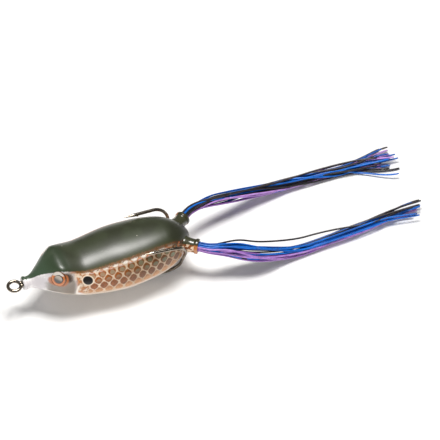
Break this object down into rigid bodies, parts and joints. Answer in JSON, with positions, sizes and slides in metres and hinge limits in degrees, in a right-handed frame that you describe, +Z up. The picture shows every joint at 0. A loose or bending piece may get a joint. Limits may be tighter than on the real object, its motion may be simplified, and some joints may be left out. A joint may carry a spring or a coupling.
{
  "type": "hollow-bodied topwater fishing lure",
  "caption": "Soft hollow lure with a pointed nose and a double hook whose points lie against the back, a line-tie eye at the nose, and two trailing rubber-strand legs.",
  "frame": {"origin": "centre of the line-tie eye", "axes": "+X from the nose to the tail, +Y to the lure's right, +Z up to its back; the eye's hole runs along Z"},
  "size_m": [0.1617, 0.0368, 0.0222],
  "materials": {
    "soft_shell": "satin, painted",
    "hook_wire": "black-nickel plated",
    "weight": "cast, satin",
    "sleeve": "shrink tube",
    "rattle_tube": "clear, modelled opaque",
    "rattle_plug": "moulded",
    "rattle_ball": "polished",
    "eye_disc": "printed foil",
    "eye_dome": "glossy dome",
    "rubber_blue": "satin",
    "rubber_black": "satin",
    "rubber_violet": "satin",
    "tie_band": "matt"
  },
  "bodies": {
    "hook": {"double_hook": "hook_wire", "keel_weight": "weight", "nose_sleeve": "sleeve", "rattle_tube": "rattle_tube", "rattle_plugs": "rattle_plug", "skirt_loop_blue": "rubber_blue", "skirt_loop_black": "rubber_black", "skirt_loop_violet": "rubber_violet", "skirt_tie": "tie_band"},
    "rattle": {"rattle_balls": "rattle_ball"},
    "shell": {"body_shell": "soft_shell", "left_eye_disc": "eye_disc", "left_eye_dome": "eye_dome", "right_eye_disc": "eye_disc", "right_eye_dome": "eye_dome"},
    "left_leg": {"left_leg_blue": "rubber_blue", "left_leg_black": "rubber_black", "left_leg_violet": "rubber_violet"},
    "left_leg_tip": {"left_tip_blue": "rubber_blue", "left_tip_black": "rubber_black", "left_tip_violet": "rubber_violet"},
    "right_leg": {"right_leg_blue": "rubber_blue", "right_leg_black": "rubber_black", "right_leg_violet": "rubber_violet"},
    "right_leg_tip": {"right_tip_blue": "rubber_blue", "right_tip_black": "rubber_black", "right_tip_violet": "rubber_violet"}
  },
  "joints": [
    {"name": "back_press", "type": "hinge", "parent": "hook", "child": "shell", "pos_m": [0.0045, 0, 0], "axis": [0, 1, 0], "range_deg": [0, 6], "stiffness_Nm_per_rad": 1.5, "deforming": ["body_shell"]},
    {"name": "rattle_roll", "type": "slide", "parent": "hook", "child": "rattle", "axis": [1, 0, 0], "range_m": [-0.0017, 0]},
    {"name": "left_leg_swing", "type": "hinge", "parent": "hook", "child": "left_leg", "pos_m": [0.0702, -0.0077, 0], "axis": [0, 0, -1], "range_deg": [-4, 40], "stiffness_Nm_per_rad": 0.004},
    {"name": "left_leg_flex", "type": "hinge", "parent": "left_leg", "child": "left_leg_tip", "pos_m": [0.104, -0.015, -0.0095], "axis": [0, -1, 0], "range_deg": [-25, 40], "stiffness_Nm_per_rad": 0.004},
    {"name": "right_leg_swing", "type": "hinge", "parent": "hook", "child": "right_leg", "pos_m": [0.0702, 0.0077, 0], "axis": [0, 0, 1], "range_deg": [-4, 40], "stiffness_Nm_per_rad": 0.004},
    {"name": "right_leg_flex", "type": "hinge", "parent": "right_leg", "child": "right_leg_tip", "pos_m": [0.104, 0.0154, -0.0079], "axis": [0, -1, 0], "range_deg": [-25, 40], "stiffness_Nm_per_rad": 0.004}
  ]
}
